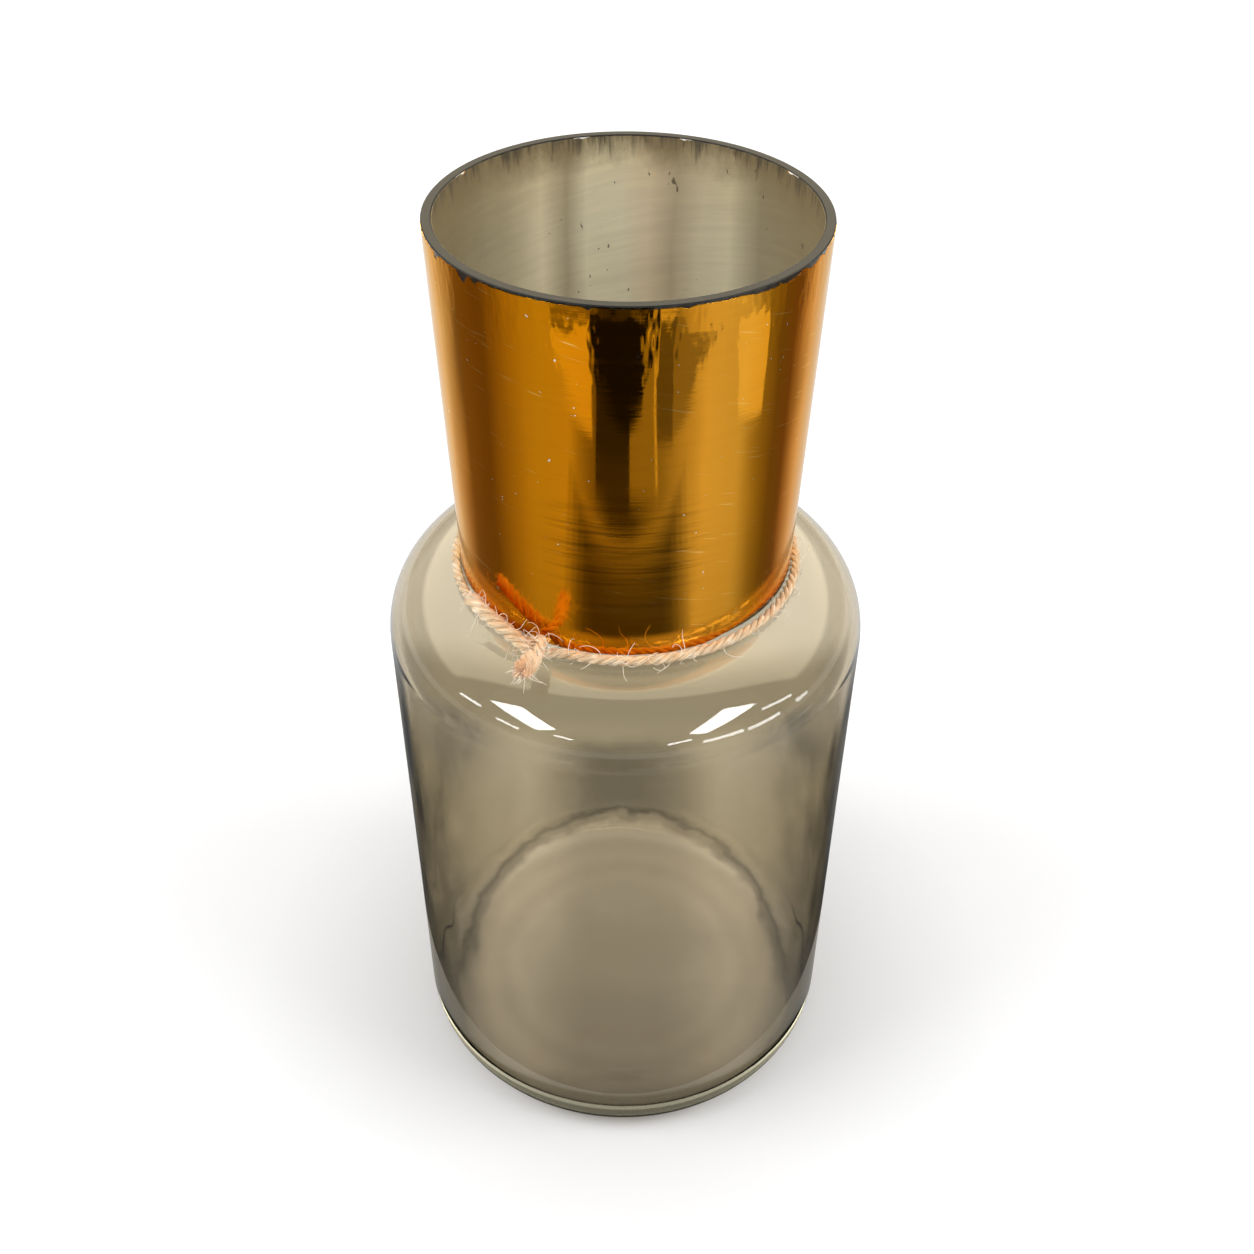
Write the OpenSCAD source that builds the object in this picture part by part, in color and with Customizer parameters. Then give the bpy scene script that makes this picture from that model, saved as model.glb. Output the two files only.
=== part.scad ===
// Blown glass bottle vase with a gilded neck and a tied jute cord.
// The origin is on the table, at the centre of the foot. +Z is up and the
// front of the vase, where the cord is tied, faces -Y.

/* [Glass vessel] */
// Height from the table to the cut rim
vase_h = 300; // [250:1:340]
// Outer diameter of the straight body
body_d = 141.6; // [132:0.1:170]
// Outer diameter of the neck at the cut rim
rim_d = 102.4; // [90:0.1:112]
// Outer diameter of the neck where it leaves the shoulder
neck_d = 95.7; // [84:0.1:104]
// Height at which the line of the neck meets the line of the shoulder
neck_root_h = 193.8; // [150:0.1:215]
// Fall of the shoulder away from the neck, in degrees
shoulder_fall = 10; // [4:0.5:18]
// Radius that turns the shoulder into the body
shoulder_r = 21.5; // [14:0.5:24]
// Radius of the hollow between the neck and the shoulder
neck_hollow_r = 2; // [1.5:0.1:5]
// Thickness of the blown wall
wall_t = 2.6; // [1.8:0.1:4]
// Bevel that breaks the edges of the cut rim
rim_bevel = 0.25; // [0.1:0.05:0.5]

/* [Foot] */
// Thickness of the glass base
base_t = 6; // [4:0.1:9]
// Radius that rounds the body into the foot
heel_r = 12; // [6:0.5:16]
// Radius inside, where the wall turns into the base
inner_heel_r = 9; // [4:0.5:13]
// Width of the flat ring that the vase stands on
foot_ring_w = 6; // [3:0.5:12]
// Rise of the underside inside the foot ring
kick_h = 1.6; // [0.6:0.1:3]
// Rise of the floor inside the vase towards its centre
floor_rise = 1.2; // [0.4:0.1:3]

/* [Neck coating] */
// Thickness of the silver mirror film on the inside of the neck
film_t = 0.1; // [0.06:0.01:0.3]
// Thickness of the mirror gloss amber lacquer on the outside of the neck
lacquer_t = 0.1; // [0.06:0.01:0.3]
// Space between a layer and the glass, so that their curved faces stay apart
layer_gap = 0.02; // [0.01:0.01:0.05]
// Bare glass left between the film and the cut rim
film_rim_gap = 0.9; // [0.5:0.1:5]
// Bare glass left between the lacquer and the cut rim
lacquer_rim_gap = 1.2; // [0.5:0.1:5]

/* [Cord] */
// Diameter of the jute cord
cord_d = 2.8; // [2:0.1:4]
// Space between the cord and the glass that it lies against
cord_gap = 0.15; // [0.15:0.05:0.4]
// Place of the knot, in degrees from the front towards the left
knot_turn = 26; // [-180:1:180]
// Spread of the frayed end that lies along the neck
left_end_d = 4.2; // [2:0.1:6]
// Spread of the frayed end that points forwards
front_end_d = 6.2; // [2:0.1:7]

/* [Hidden] */

glass_color = [0.50, 0.46, 0.37, 0.45];
film_color = [0.78, 0.77, 0.73];
lacquer_color = [0.76, 0.49, 0.10];
jute_color = [0.86, 0.71, 0.57];

// Faces of a turned surface, steps of a rounded corner, and steps of a dome
turn_fn = 120;
corner_steps = 14;
dome_steps = 10;

body_r = body_d / 2;
neck_r = neck_d / 2;
rim_r = rim_d / 2;
cord_r = cord_d / 2;

// Height of the outer shoulder line, and radius of the outer neck line
function shoulder_z(r) = neck_root_h - (r - neck_r) * tan(shoulder_fall);
function neck_r_at(z) = neck_r + (rim_r - neck_r) * (z - neck_root_h) / (vase_h - neck_root_h);

function unit(v) = v / norm(v);

// Room that a rounding of radius r takes up along each side of corner p
function half_angle(a, p, b) = acos(unit(a - p) * unit(b - p)) / 2;
function room(a, p, b, r) = r / tan(half_angle(a, p, b));

// Centre of that rounding, and its points from side a to side b
function turn_centre(a, p, b, r) =
    p + unit(unit(a - p) + unit(b - p)) * r / sin(half_angle(a, p, b));
function turn_angle(v) = atan2(v[1], v[0]);
function half_turn(d) = d > 180 ? d - 360 : d < -180 ? d + 360 : d;
function rounded(a, p, b, r) =
    let (
        c = turn_centre(a, p, b, r),
        from = turn_angle(p + unit(a - p) * room(a, p, b, r) - c),
        to = turn_angle(p + unit(b - p) * room(a, p, b, r) - c),
        sweep = half_turn(to - from)
    )
    [for (i = [0:corner_steps]) c + r * [cos(from + sweep * i / corner_steps),
                                         sin(from + sweep * i / corner_steps)]];

// Shallow dome from the axis out to radius r, rising by h over height z
function dome(r, z, h) =
    [for (i = [0:dome_steps]) [r * i / dome_steps, z + h * (1 - pow(i / dome_steps, 2))]];

function reversed(list) = [for (i = [len(list) - 1:-1:0]) list[i]];

// Outer corners of the vessel, from the table to the rim
foot_corner = [body_r, 0];
shoulder_corner = [body_r, shoulder_z(body_r)];
neck_corner = [neck_r, neck_root_h];
rim_corner = [rim_r, vase_h];

// The shoulder's rounding is limited by the shoulder that is left beside the hollow
shoulder_w = norm(shoulder_corner - neck_corner);
hollow_room = room(shoulder_corner, neck_corner, rim_corner, neck_hollow_r);
turn_r = min(shoulder_r, (shoulder_w - hollow_room)
             * tan(half_angle(foot_corner, shoulder_corner, neck_corner)));

// Inner corners, one wall inside the outer ones
inner_foot_corner = [body_r - wall_t, base_t];
inner_shoulder_corner = [body_r - wall_t, shoulder_z(body_r - wall_t) - wall_t];
inner_neck_corner = [neck_r - wall_t, shoulder_z(neck_r - wall_t) - wall_t];
inner_rim_corner = [rim_r - wall_t, vase_h];

// Radius of the inner neck line
function inner_neck_r_at(z) = inner_neck_corner[0]
    + (inner_rim_corner[0] - inner_neck_corner[0])
    * (z - inner_neck_corner[1]) / (inner_rim_corner[1] - inner_neck_corner[1]);

foot_ring_r = body_r - heel_r - foot_ring_w;
floor_r = body_r - wall_t - inner_heel_r;

outer_line = concat(
    dome(foot_ring_r, 0, kick_h),
    rounded([0, 0], foot_corner, shoulder_corner, heel_r),
    rounded(foot_corner, shoulder_corner, neck_corner, turn_r),
    rounded(shoulder_corner, neck_corner, rim_corner, neck_hollow_r),
    [rim_corner - [0, rim_bevel], rim_corner - [rim_bevel, 0]]
);
inner_line = concat(
    dome(floor_r, base_t, floor_rise),
    rounded([0, base_t], inner_foot_corner, inner_shoulder_corner, inner_heel_r),
    rounded(inner_foot_corner, inner_shoulder_corner, inner_neck_corner, turn_r - wall_t),
    rounded(inner_shoulder_corner, inner_neck_corner, inner_rim_corner, neck_hollow_r + wall_t),
    [inner_rim_corner - [0, rim_bevel], inner_rim_corner + [rim_bevel, 0]]
);

// Both coatings run from the top of the rounding at the neck's root to just under the rim
inner_hollow_room = room(inner_shoulder_corner, inner_neck_corner, inner_rim_corner,
                         neck_hollow_r + wall_t);
film_low = inner_neck_corner[1] + inner_hollow_room;
film_high = vase_h - film_rim_gap;
lacquer_low = neck_root_h + hollow_room;
lacquer_high = vase_h - lacquer_rim_gap;

// The cord lies round the neck over the lacquer, down in the hollow
hollow_centre = turn_centre(shoulder_corner, neck_corner, rim_corner, neck_hollow_r);
loop_r = neck_r_at(lacquer_low) + layer_gap + lacquer_t + cord_gap + cord_r;
on_shoulder_z = shoulder_z(loop_r) + (cord_r + cord_gap) / cos(shoulder_fall);
hollow_play = max(0, neck_hollow_r - cord_r - cord_gap);
in_hollow_z = hollow_centre[1]
    - sqrt(max(0, pow(hollow_play, 2) - pow(hollow_centre[0] - loop_r, 2)));
loop_z = max(on_shoulder_z, in_hollow_z);

// The knot's own directions: along the neck to the left, outwards, and up
knot_out = [-sin(knot_turn), -cos(knot_turn), 0];
knot_left = [-cos(knot_turn), sin(knot_turn), 0];
knot_up = [0, 0, 1];
knot_base = knot_out * loop_r + knot_up * loop_z;
function from_knot(p) = knot_base + p[0] * knot_left + p[1] * knot_out + p[2] * knot_up;

// The loop leaves the knot on the left and comes back to it from the right
loop_start_turn = 11;
loop_end_turn = 353;
loop_steps = 46;
loop_points = [for (i = [0:loop_steps])
    let (turn = knot_turn + loop_start_turn + (loop_end_turn - loop_start_turn) * i / loop_steps)
    [-sin(turn) * loop_r, -cos(turn) * loop_r, loop_z]];

// Route of the cord from its front end to the loop, hooked over the other strand
front_end_route = [
    [-1.0, 14.8, 3.4],
    [-1.0, 11.8, 3.2],
    [-1.0, 8.9, 3.0]
];
hook_route = [
    [-1.0, 6.3, 3.0],
    [-0.9, 4.3, 3.4],
    [-0.5, 2.5, 3.6],
    [0.2, 1.0, 3.4],
    [1.4, 0.3, 2.4],
    [3.0, 0.1, 1.1],
    [5.0, -0.1, 0.3],
    [7.2, -0.4, 0.0]
];
// Route from the loop's other end, under the hook and out along the neck
under_route = [
    [-3.6, 0.6, -0.1],
    [-1.4, 1.8, -0.2],
    [0.6, 3.0, -0.1],
    [2.8, 3.6, 0.9],
    [5.2, 3.3, 2.3],
    [8.0, 2.9, 3.6]
];
left_end_route = [
    [11.5, 2.4, 4.9],
    [15.2, 1.8, 6.1],
    [19.2, 0.7, 7.4],
    [23.2, -0.6, 8.7]
];

// The whole cord as one line of points, and the places where it is cut into nodes
cord_line = concat(
    [for (p = front_end_route) from_knot(p)],
    [for (p = hook_route) from_knot(p)],
    loop_points,
    [for (p = under_route) from_knot(p)],
    [for (p = left_end_route) from_knot(p)]
);
last_point = len(cord_line) - 1;
hook_from = len(front_end_route);
loop_from = hook_from + len(hook_route);
loop_to = loop_from + loop_steps;
under_to = loop_to + len(under_route);

// Radius of the cord at each point: the two ends swell where they fray
front_swell_shares = [1, 0.9, 0.7, 0.4, 0.1];
left_swell_shares = [1, 1, 0.95, 0.85, 0.65, 0.3];
function swell(shares, i) = i < len(shares) ? shares[i] : 0;
function cord_r_at(i) = cord_r
    + (front_end_d / 2 - cord_r) * swell(front_swell_shares, i)
    + (left_end_d / 2 - cord_r) * swell(left_swell_shares, last_point - i);

// Direction of the cord at each point, and a side direction that starts square
// to the neck and is carried along the cord both ways
cord_sides = 8;
function along(i) = unit(cord_line[min(i + 1, last_point)] - cord_line[max(i - 1, 0)]);
function squared(v, t) = unit(v - (v * t) * t);
function carried(from, to, step) =
    [for (i = from, v = squared([cord_line[from][0], cord_line[from][1], 0], along(from));
        i * step <= to * step;
        i = i + step, v = squared(v, along(i))) v];
cord_side = concat(
    reversed(carried(loop_from - 1, 0, -1)),
    carried(loop_from, last_point, 1)
);

// Ring of the cord at point i, square to its direction, with a flat to the neck
function ring(i) = [for (k = [0:cord_sides - 1])
    let (a = 360 * (k + 1 / 2) / cord_sides)
    cord_line[i] + cord_r_at(i)
        * (cos(a) * cord_side[i] + sin(a) * cross(along(i), cord_side[i]))];

// Stretch of cord from point a to point b, closed at both ends
module cord_stretch(a, b) {
    n = b - a;
    points = [for (i = [a:b]) each ring(i)];
    walls = [for (i = [0:n - 1], k = [0:cord_sides - 1])
        let (j = (k + 1) % cord_sides, low = i * cord_sides, high = (i + 1) * cord_sides)
        each [[low + k, high + k, high + j], [low + k, high + j, low + j]]];
    start = [for (k = [1:cord_sides - 2]) [0, k, k + 1]];
    finish = [for (k = [1:cord_sides - 2])
        [n * cord_sides, n * cord_sides + k + 1, n * cord_sides + k]];
    polyhedron(points, concat(walls, start, finish));
}

// Least gap between stretches of the cord that aren't neighbours
near_steps = 5;
function gap(i, j) = norm(cord_line[i] - cord_line[j]) - cord_r_at(i) - cord_r_at(j);
cord_least_gap = min([for (i = [0:last_point], j = [i + near_steps:1:last_point]) gap(i, j)]);
echo(cord_least_gap = cord_least_gap);

module glass_vessel() {
    color(glass_color)
        rotate_extrude($fn = turn_fn)
            polygon(concat(outer_line, reversed(inner_line)));
}

// Sleeve of thickness t round the axis, from inner radius low_r at height low to
// inner radius high_r at height high
module neck_sleeve(low, low_r, high, high_r, t) {
    rotate_extrude($fn = turn_fn)
        polygon([[low_r, low], [low_r + t, low], [high_r + t, high], [high_r, high]]);
}

module mirror_film() {
    inset = layer_gap + film_t;
    color(film_color)
        neck_sleeve(film_low, inner_neck_r_at(film_low) - inset,
                    film_high, inner_neck_r_at(film_high) - inset, film_t);
}

module amber_lacquer() {
    color(lacquer_color)
        neck_sleeve(lacquer_low, neck_r_at(lacquer_low) + layer_gap,
                    lacquer_high, neck_r_at(lacquer_high) + layer_gap, lacquer_t);
}

module cord_loop() {
    color(jute_color) cord_stretch(loop_from, loop_to);
}

module cord_knot() {
    color(jute_color) {
        cord_stretch(hook_from, loop_from);
        cord_stretch(loop_to, under_to);
    }
}

module cord_end_left() {
    color(jute_color) cord_stretch(under_to, last_point);
}

module cord_end_front() {
    color(jute_color) cord_stretch(0, hook_from);
}

glass_vessel();
mirror_film();
amber_lacquer();
cord_loop();
cord_knot();
cord_end_left();
cord_end_front();
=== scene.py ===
import math
import random
import bpy
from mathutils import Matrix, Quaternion, Vector, noise


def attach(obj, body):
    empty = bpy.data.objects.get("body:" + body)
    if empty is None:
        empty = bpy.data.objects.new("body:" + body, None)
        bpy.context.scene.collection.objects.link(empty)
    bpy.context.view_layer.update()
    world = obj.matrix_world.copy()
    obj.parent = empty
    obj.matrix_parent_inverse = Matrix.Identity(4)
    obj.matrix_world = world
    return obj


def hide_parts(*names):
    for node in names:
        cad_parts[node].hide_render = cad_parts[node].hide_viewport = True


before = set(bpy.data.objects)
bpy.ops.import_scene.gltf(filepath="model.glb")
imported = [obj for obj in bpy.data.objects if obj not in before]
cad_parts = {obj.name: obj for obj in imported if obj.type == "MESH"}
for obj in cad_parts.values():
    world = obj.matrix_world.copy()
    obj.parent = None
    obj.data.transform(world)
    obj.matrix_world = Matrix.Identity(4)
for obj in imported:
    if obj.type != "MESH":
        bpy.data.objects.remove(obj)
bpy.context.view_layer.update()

MM = 0.001

# Camera

CAMERA_PLACE = Vector((0.0, -0.3412, 0.4501))
CAMERA_TILT = 0.6951
CAMERA_TURN = 0.0011
CAMERA_ROLL = 0.0080
SENSOR_W = 36
FOCAL_PX = 1449.5
FRAME_PX = 1254


def add_camera():
    lens = bpy.data.cameras.new("camera")
    lens.sensor_width = SENSOR_W
    lens.lens = SENSOR_W * FOCAL_PX / FRAME_PX
    lens.clip_start = 0.01
    lens.clip_end = 50
    camera = bpy.data.objects.new("camera", lens)
    bpy.context.scene.collection.objects.link(camera)
    ahead = Vector((math.sin(CAMERA_TURN), math.cos(CAMERA_TILT), -math.sin(CAMERA_TILT)))
    camera.location = CAMERA_PLACE
    camera.rotation_mode = "QUATERNION"
    camera.rotation_quaternion = (
        ahead.to_track_quat("-Z", "Y") @ Quaternion((0, 0, 1), CAMERA_ROLL))
    bpy.context.scene.camera = camera


# Modelling helpers

def deselect():
    if bpy.context.object and bpy.context.object.mode != "OBJECT":
        bpy.ops.object.mode_set(mode="OBJECT")
    bpy.ops.object.select_all(action="DESELECT")


def only(piece):
    deselect()
    piece.select_set(True)
    bpy.context.view_layer.objects.active = piece


def held(value):
    """The value, held between 0 and 1."""
    return min(1.0, max(0.0, value))


def turned(name, outline, steps):
    """A closed outline of (radius, height) points, turned round the upright axis."""
    deselect()
    bpy.ops.mesh.primitive_plane_add(size=MM)
    piece = bpy.context.object
    piece.name = name
    bpy.ops.object.mode_set(mode="EDIT")
    bpy.ops.mesh.select_all(action="SELECT")
    bpy.ops.mesh.merge(type="CENTER")
    r, z = outline[0]
    bpy.ops.transform.translate(value=(r, 0, z))
    for r2, z2 in outline[1:]:
        bpy.ops.mesh.extrude_region_move(
            TRANSFORM_OT_translate={"value": (r2 - r, 0, z2 - z)})
        r, z = r2, z2
    bpy.ops.mesh.select_all(action="SELECT")
    bpy.ops.mesh.spin(steps=steps, angle=2 * math.pi, center=(0, 0, 0), axis=(0, 0, 1))
    bpy.ops.mesh.select_all(action="SELECT")
    bpy.ops.mesh.remove_doubles(threshold=1e-6)
    bpy.ops.mesh.normals_make_consistent(inside=False)
    bpy.ops.object.mode_set(mode="OBJECT")
    bpy.ops.object.shade_smooth_by_angle(angle=math.radians(35))
    return piece


def add_node(tree, kind, inputs=None, **settings):
    node = tree.nodes.new(kind)
    for key, value in settings.items():
        setattr(node, key, value)
    for key, value in (inputs or {}).items():
        if isinstance(value, bpy.types.NodeSocket):
            tree.links.new(value, node.inputs[key])
        else:
            node.inputs[key].default_value = value
    return node


def new_material(name):
    material = bpy.data.materials.new(name)
    material.use_nodes = True
    tree = material.node_tree
    tree.nodes.clear()
    out = tree.nodes.new("ShaderNodeOutputMaterial")
    place = add_node(tree, "ShaderNodeTexCoord").outputs["Object"]
    return material, tree, out, place


def ramp(tree, value, *stops):
    node = add_node(tree, "ShaderNodeValToRGB", {0: value})
    marks = node.color_ramp.elements
    while len(marks) < len(stops):
        marks.new(0.5)
    for mark, (at, colour) in zip(marks, stops):
        mark.position = at
        mark.color = (*colour, 1)
    return node.outputs[0]


def grey(value):
    return (value, value, value)


def noise_of(tree, place, scale, detail=3, size=(1, 1, 1), rough=0.55):
    stretched = add_node(tree, "ShaderNodeMapping", {0: place, 3: size})
    return add_node(tree, "ShaderNodeTexNoise", {
        "Vector": stretched.outputs[0], "Scale": scale, "Detail": detail,
        "Roughness": rough}).outputs[0]


def arithmetic(tree, operation, a, b=0.0, c=0.0, clamp=False):
    return add_node(tree, "ShaderNodeMath", {0: a, 1: b, 2: c},
                    operation=operation, use_clamp=clamp).outputs[0]


def times(tree, a, b):
    return arithmetic(tree, "MULTIPLY", a, b)


def scaled(tree, value, factor, plus):
    return arithmetic(tree, "MULTIPLY_ADD", value, factor, plus)


def one_minus(tree, value):
    return arithmetic(tree, "SUBTRACT", 1.0, value)


def mix_values(tree, share, a, b):
    return add_node(tree, "ShaderNodeMix", {0: share, 2: a, 3: b}).outputs[0]


def length_of(tree, vector):
    return add_node(tree, "ShaderNodeVectorMath", {0: vector}, operation="LENGTH").outputs["Value"]


def mix_shaders(tree, share, a, b):
    return add_node(tree, "ShaderNodeMixShader", {0: share, 1: a, 2: b}).outputs[0]


def smooth_step(tree, value, low, high):
    return add_node(tree, "ShaderNodeMapRange", {0: value, 1: low, 2: high, 3: 0.0, 4: 1.0},
                    interpolation_type="SMOOTHSTEP").outputs[0]


def blend_colour(tree, share, a, b, how="MIX"):
    return add_node(tree, "ShaderNodeMix", {0: share, 6: a, 7: b},
                    data_type="RGBA", blend_type=how).outputs[2]


def bump(tree, height, distance, strength=1.0, under=None):
    inputs = {"Height": height, "Distance": distance, "Strength": strength}
    if under is not None:
        inputs["Normal"] = under
    return add_node(tree, "ShaderNodeBump", inputs).outputs[0]


# Glass vessel

VASE_H = 300.0
BODY_R = 70.8
RIM_R = 51.2
NECK_R = 47.85
NECK_ROOT_H = 193.8
SHOULDER_FALL = math.radians(10)
SHOULDER_R = 21.5
NECK_HOLLOW_R = 2.0
WALL = 2.6
RIM_BEVEL = 0.25
BASE_T = 6.0
HEEL_R = 12.0
INNER_HEEL_R = 9.0
FOOT_RING_W = 6.0
KICK_H = 1.6
FLOOR_RISE = 1.2
VESSEL_STEPS = 256
SLEEVE_STEPS = 420
SLEEVE_ROWS = 12
BODY_STEPS = 24
SHOULDER_STEPS = 28
LEDGE_STEPS = 4
NECK_STEPS = 16
# waves of the blown glass: depth, and width and height of one wave
WAVES = [(0.12, 34, 70), (0.045, 9, 24)]
# they are on walls wider than this, from the heel up to a height, and fade in and out
WAVES_R = 60.0
WAVES_TOP = 176.0
WAVES_FADE_IN = 20
WAVES_FADE_OUT = 14
FILM_LOW = 195.40
FILM_HIGH = 299.75
LACQUER_LOW = 195.53
LACQUER_HIGH = 299.6
# how far a layer of the coating goes into the glass, and how far off it
LAYER_SUNK = 0.02
LAYER_T = 0.12


def shoulder_height(r):
    return NECK_ROOT_H - (r - NECK_R) * math.tan(SHOULDER_FALL)


def neck_radius(z):
    return NECK_R + (RIM_R - NECK_R) * (z - NECK_ROOT_H) / (VASE_H - NECK_ROOT_H)


def rounded(a, p, b, r, steps=16):
    """Points of the rounding of radius r at corner p, between sides a and b."""
    a, p, b = Vector(a), Vector(p), Vector(b)
    to_a, to_b = (a - p).normalized(), (b - p).normalized()
    half = to_a.angle(to_b) / 2
    centre = p + (to_a + to_b).normalized() * r / math.sin(half)
    start = p + to_a * r / math.tan(half) - centre
    sweep = math.pi - 2 * half
    turn = -1 if to_a.x * to_b.y - to_a.y * to_b.x > 0 else 1
    points = []
    for i in range(steps + 1):
        t = turn * sweep * i / steps
        points.append((centre.x + start.x * math.cos(t) - start.y * math.sin(t),
                       centre.y + start.x * math.sin(t) + start.y * math.cos(t)))
    return points


def dome(r, z, h, steps=10):
    return [(r * i / steps, z + h * (1 - (i / steps) ** 2)) for i in range(steps + 1)]


def straight(a, b, steps):
    """Points between a and b, without either."""
    return [(a[0] + (b[0] - a[0]) * i / steps, a[1] + (b[1] - a[1]) * i / steps)
            for i in range(1, steps)]


def wall_line(start, foot, shoulder, neck, rim, heel_r, shoulder_r, hollow_r):
    """One skin of the vessel, from its heel, over its four corners, to under the rim."""
    heel = rounded(start, foot, shoulder, heel_r)
    turn = rounded(foot, shoulder, neck, shoulder_r, SHOULDER_STEPS)
    hollow = rounded(shoulder, neck, rim, hollow_r)
    return (heel + straight(heel[-1], turn[0], BODY_STEPS)
            + turn + straight(turn[-1], hollow[0], LEDGE_STEPS)
            + hollow + straight(hollow[-1], rim, NECK_STEPS))


def vessel_outline():
    outer = dome(BODY_R - HEEL_R - FOOT_RING_W, 0, KICK_H)
    outer += wall_line((0, 0), (BODY_R, 0), (BODY_R, shoulder_height(BODY_R)),
                       (NECK_R, NECK_ROOT_H), (RIM_R, VASE_H),
                       HEEL_R, SHOULDER_R, NECK_HOLLOW_R)
    outer += [(RIM_R, VASE_H - RIM_BEVEL), (RIM_R - RIM_BEVEL, VASE_H)]

    body_r, neck_r, rim_r = BODY_R - WALL, NECK_R - WALL, RIM_R - WALL
    inner = dome(body_r - INNER_HEEL_R, BASE_T, FLOOR_RISE)
    inner += wall_line((0, BASE_T), (body_r, BASE_T), (body_r, shoulder_height(body_r) - WALL),
                       (neck_r, shoulder_height(neck_r) - WALL), (rim_r, VASE_H),
                       INNER_HEEL_R, SHOULDER_R - WALL, NECK_HOLLOW_R + WALL)
    inner += [(rim_r, VASE_H - RIM_BEVEL), (rim_r + RIM_BEVEL, VASE_H)]
    return [(r * MM, z * MM) for r, z in outer + inner[::-1]]


def add_smoke(tree, out):
    smoke = add_node(tree, "ShaderNodeVolumeAbsorption", {
        "Color": (0.50, 0.40, 0.19, 1), "Density": 240.0})
    tree.links.new(smoke.outputs[0], out.inputs["Volume"])


def smoked_glass():
    material, tree, out, _ = new_material("smoked_glass")
    glass = add_node(tree, "ShaderNodeBsdfPrincipled", {
        "Base Color": (1, 1, 1, 1), "Roughness": 0.0, "IOR": 1.5,
        "Transmission Weight": 1.0})
    clear = add_node(tree, "ShaderNodeBsdfTransparent", {0: (0.40, 0.38, 0.34, 1)})
    shadow = add_node(tree, "ShaderNodeLightPath").outputs["Is Shadow Ray"]
    both = mix_shaders(tree, shadow, glass.outputs[0], clear.outputs[0])
    tree.links.new(both, out.inputs["Surface"])
    add_smoke(tree, out)
    return material


def cut_rim_glass():
    material, tree, out, place = new_material("cut_rim_glass")
    grain = noise_of(tree, place, 900, 3)
    glass = add_node(tree, "ShaderNodeBsdfPrincipled", {
        "Base Color": (0.024, 0.025, 0.025, 1), "Specular IOR Level": 0.12,
        "Roughness": 0.30, "Normal": bump(tree, grain, 0.00005, 0.5)})
    tree.links.new(glass.outputs[0], out.inputs["Surface"])
    add_smoke(tree, out)
    return material


def blown_waves(piece):
    """Move the skins of the body a little in and out, as in blown glass, but not its ends."""
    for corner in piece.data.vertices:
        x, y, z = corner.co / MM
        r = math.hypot(x, y)
        fade = held((z - HEEL_R) / WAVES_FADE_IN) * held((WAVES_TOP - z) / WAVES_FADE_OUT)
        if r < WAVES_R or fade == 0:
            continue
        skin = 0.0 if r > BODY_R - WALL / 2 else 40.0
        shift = 0.0
        for depth, width, height in WAVES:
            shift += depth * noise.noise(Vector((x / width, y / width, z / height + skin)))
        corner.co.x += fade * shift * x / r * MM
        corner.co.y += fade * shift * y / r * MM


def glass_vessel():
    piece = turned("vessel", vessel_outline(), VESSEL_STEPS)
    blown_waves(piece)
    piece.data.materials.append(smoked_glass())
    piece.data.materials.append(cut_rim_glass())
    low = (VASE_H - RIM_BEVEL * 1.5) * MM
    for face in piece.data.polygons:
        if all(piece.data.vertices[i].co.z > low for i in face.vertices):
            face.material_index = 1
    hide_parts("glass_vessel")
    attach(piece, "root")


# Coating of the neck

def turn_from_front(angle):
    """Degrees from the front, plus to the left, of an angle on the XY plane."""
    return (270 - math.degrees(angle) + 180) % 360 - 180


# chips in the upper edge: place in degrees from the front to the left, half width and depth
CHIPS = [(62, 1.2, 1.6), (48, 1.8, 2.2), (43, 1.0, 1.2), (-38, 6.0, 0.7), (-47, 4.0, 0.9),
         (-58, 3.5, 0.8), (-66, 2.0, 0.9), (10, 1.2, 0.5), (-15, 1.5, 0.5), (118, 3.0, 1.2),
         (165, 2.5, 1.0), (-120, 3.5, 1.2), (-162, 2.0, 1.0), (85, 1.5, 1.0)]
# unevenness of the upper edge all round: depth and fineness
NICKS = [(0.18, 22), (0.14, 70)]
# where the lower edge of the lacquer rises: place, half width and height
RISES = [(-56, 30, 2.6), (66, 22, 1.2)]


def edge_drop(angle, spread, seed):
    """How far the upper edge of a layer lies under its full height, in mm."""
    turn = turn_from_front(angle)
    drop = 0.0
    for depth, fine in NICKS:
        drop += depth * (1 + noise.noise(Vector((math.cos(angle) * fine, math.sin(angle) * fine, seed))))
    drop *= spread
    for at, half, depth in CHIPS:
        near = abs((turn - at + 180) % 360 - 180) / (half * spread)
        if near < 1:
            drop += depth * spread * (1 - near ** 3)
    return drop


def inner_neck_radius(z):
    low = shoulder_height(NECK_R - WALL) - WALL
    return NECK_R - WALL + (RIM_R - NECK_R) * (z - low) / (VASE_H - low)


def edge_rise(angle):
    """How far the lower edge of the lacquer lies over its lowest place, in mm."""
    turn = turn_from_front(angle)
    rise = 0.0
    for at, half, height in RISES:
        rise += height * max(0.0, 1 - ((turn - at) / half) ** 2)
    return rise + 0.25 * (1 + noise.noise(Vector((turn / 9, 0, 5))))


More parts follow.
